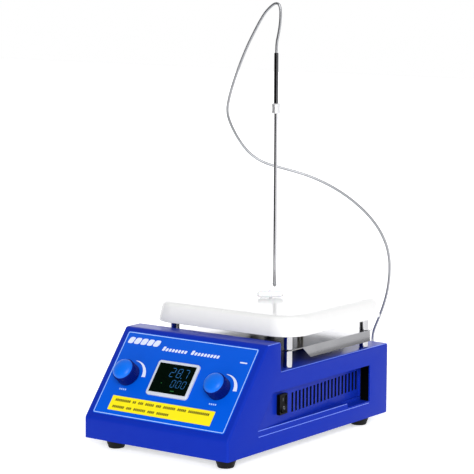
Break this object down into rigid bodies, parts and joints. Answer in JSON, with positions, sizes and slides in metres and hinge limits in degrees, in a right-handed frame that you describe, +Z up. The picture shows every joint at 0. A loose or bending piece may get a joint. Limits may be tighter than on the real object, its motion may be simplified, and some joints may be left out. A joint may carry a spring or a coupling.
{
  "type": "magnetic stirrer",
  "caption": "Hotplate magnetic stirrer: blue sloping-front housing with two dials and a display, white square plate on posts, stirring bar, and a temperature probe on a stiff lead.",
  "frame": {"origin": "bottom centre of the whole object on the plane its feet stand on, the free lead and its plug left out", "axes": "+Z up, -Y towards the sloping control panel, +X towards the side with the rocker switch"},
  "size_m": [0.1994, 0.3562, 0.4641],
  "materials": {
    "blue_enamel": "satin royal-blue powder coat",
    "galvanised_steel": "plain zinc-plated sheet",
    "panel_film": "printed polyester overlay",
    "yellow_label": "printed film label",
    "white_abs": "fine satin moulding",
    "display_lens": "tinted polycarbonate",
    "black_abs": "fine spark-eroded moulding",
    "circuit_board": "solder-masked glass laminate",
    "blue_abs": "moulded blue cap",
    "white_ceramic": "smooth fired coating on cast aluminium",
    "mica": "mica heater sheet",
    "ceramic_wool": "pressed fibre pad",
    "mirror_steel": "mirror-polished stainless steel",
    "chrome_post": "bright plated turned steel",
    "zinc_screw": "zinc plated",
    "bright_steel": "ground steel",
    "cast_aluminium": "as machined",
    "nickel": "nickel-plated magnet",
    "white_ptfe": "moulded PTFE",
    "black_rubber": "soft moulded rubber",
    "silicone_sleeve": "glass-braided silicone",
    "brass_contact": "plated contact",
    "fuse_glass": "glass tube",
    "stainless_tube": "polished stainless tube",
    "armour": "fine spiral steel armour",
    "copper_winding": "varnished copper and laminations"
  },
  "bodies": {
    "housing": {"base_plate": "galvanised_steel", "base_screws": "zinc_screw", "caution_label": "yellow_label", "control_board": "circuit_board", "display_bezel": "white_abs", "display_module": "black_abs", "display_window": "display_lens", "feet_screws": "zinc_screw", "front_overlay": "panel_film", "heat_potentiometer": "black_abs", "heat_sink": "cast_aluminium", "heater_clamp_plate": "galvanised_steel", "heater_leads": "silicone_sleeve", "heater_triac": "black_abs", "heating_element": "mica", "heating_plate": "white_ceramic", "inlet_pins": "brass_contact", "insulation_pad": "ceramic_wool", "lead_grommet": "black_rubber", "lower_standoffs": "chrome_post", "mains_inlet": "black_abs", "motor_bearings": "bright_steel", "motor_bracket": "galvanised_steel", "motor_housing": "cast_aluminium", "motor_screws": "zinc_screw", "plate_sensor": "bright_steel", "potentiometer_nuts": "zinc_screw", "power_board": "circuit_board", "power_capacitors": "black_abs", "power_transformer": "copper_winding", "probe_collar": "stainless_tube", "probe_handle": "stainless_tube", "probe_lead": "armour", "probe_plug": "stainless_tube", "probe_sheath": "stainless_tube", "probe_socket": "stainless_tube", "probe_socket_nut": "zinc_screw", "probe_strain_relief": "black_rubber", "reflector_tray": "mirror_steel", "rubber_feet": "black_rubber", "standoff_nuts": "zinc_screw", "standoff_studs": "zinc_screw", "stir_potentiometer": "black_abs", "switch_body": "black_abs", "upper_housing": "blue_enamel", "upper_standoffs": "chrome_post"},
    "heat_dial": {"heat_knob": "blue_abs", "heat_shaft": "bright_steel"},
    "stir_dial": {"stir_knob": "blue_abs", "stir_shaft": "bright_steel"},
    "rocker": {"switch_rocker": "black_abs"},
    "rotor": {"rotor_shaft": "bright_steel", "rotor_core": "copper_winding", "magnet_holder": "cast_aluminium", "drive_magnets": "nickel"},
    "stir_bar": {"stir_bar_jacket": "white_ptfe", "stir_bar_magnet": "nickel"},
    "drawer": {"fuse_drawer": "black_abs", "fuse_cartridge": "fuse_glass"},
    "coupling_ring": {"plug_ring": "stainless_tube"}
  },
  "joints": [
    {"name": "heat_dial_turn", "type": "hinge", "parent": "housing", "child": "heat_dial", "pos_m": [-0.0652, -0.12934, 0.07956], "axis": [0, -0.7843, 0.6204], "range_deg": [-150, 150]},
    {"name": "stir_dial_turn", "type": "hinge", "parent": "housing", "child": "stir_dial", "pos_m": [0.0538, -0.12934, 0.07956], "axis": [0, -0.7843, 0.6204], "range_deg": [-150, 150]},
    {"name": "power_rocker", "type": "hinge", "parent": "housing", "child": "rocker", "pos_m": [0.08537, -0.0584, 0.0523], "axis": [-0.0671, 0.9977, 0], "range_deg": [0, 16]},
    {"name": "rotor_spin", "type": "hinge", "parent": "housing", "child": "rotor", "pos_m": [0.0047, 0.0356, 0.06], "axis": [0, 0, 1], "continuous": true},
    {"name": "stir_bar_spin", "type": "hinge", "parent": "housing", "child": "stir_bar", "pos_m": [0.0047, 0.0356, 0.15], "axis": [0, 0, 1], "continuous": true},
    {"name": "fuse_drawer_slide", "type": "slide", "parent": "housing", "child": "drawer", "axis": [0, 1, 0], "range_m": [0, 0.016]},
    {"name": "coupling_ring_turn", "type": "hinge", "parent": "housing", "child": "coupling_ring", "pos_m": [0.0363, 0.157, 0.0585], "axis": [0, 1, 0], "range_deg": [0, 360]}
  ],
  "couplings": [
    {"joint": "stir_bar_spin", "follows": "rotor_spin", "ratio": 1}
  ]
}
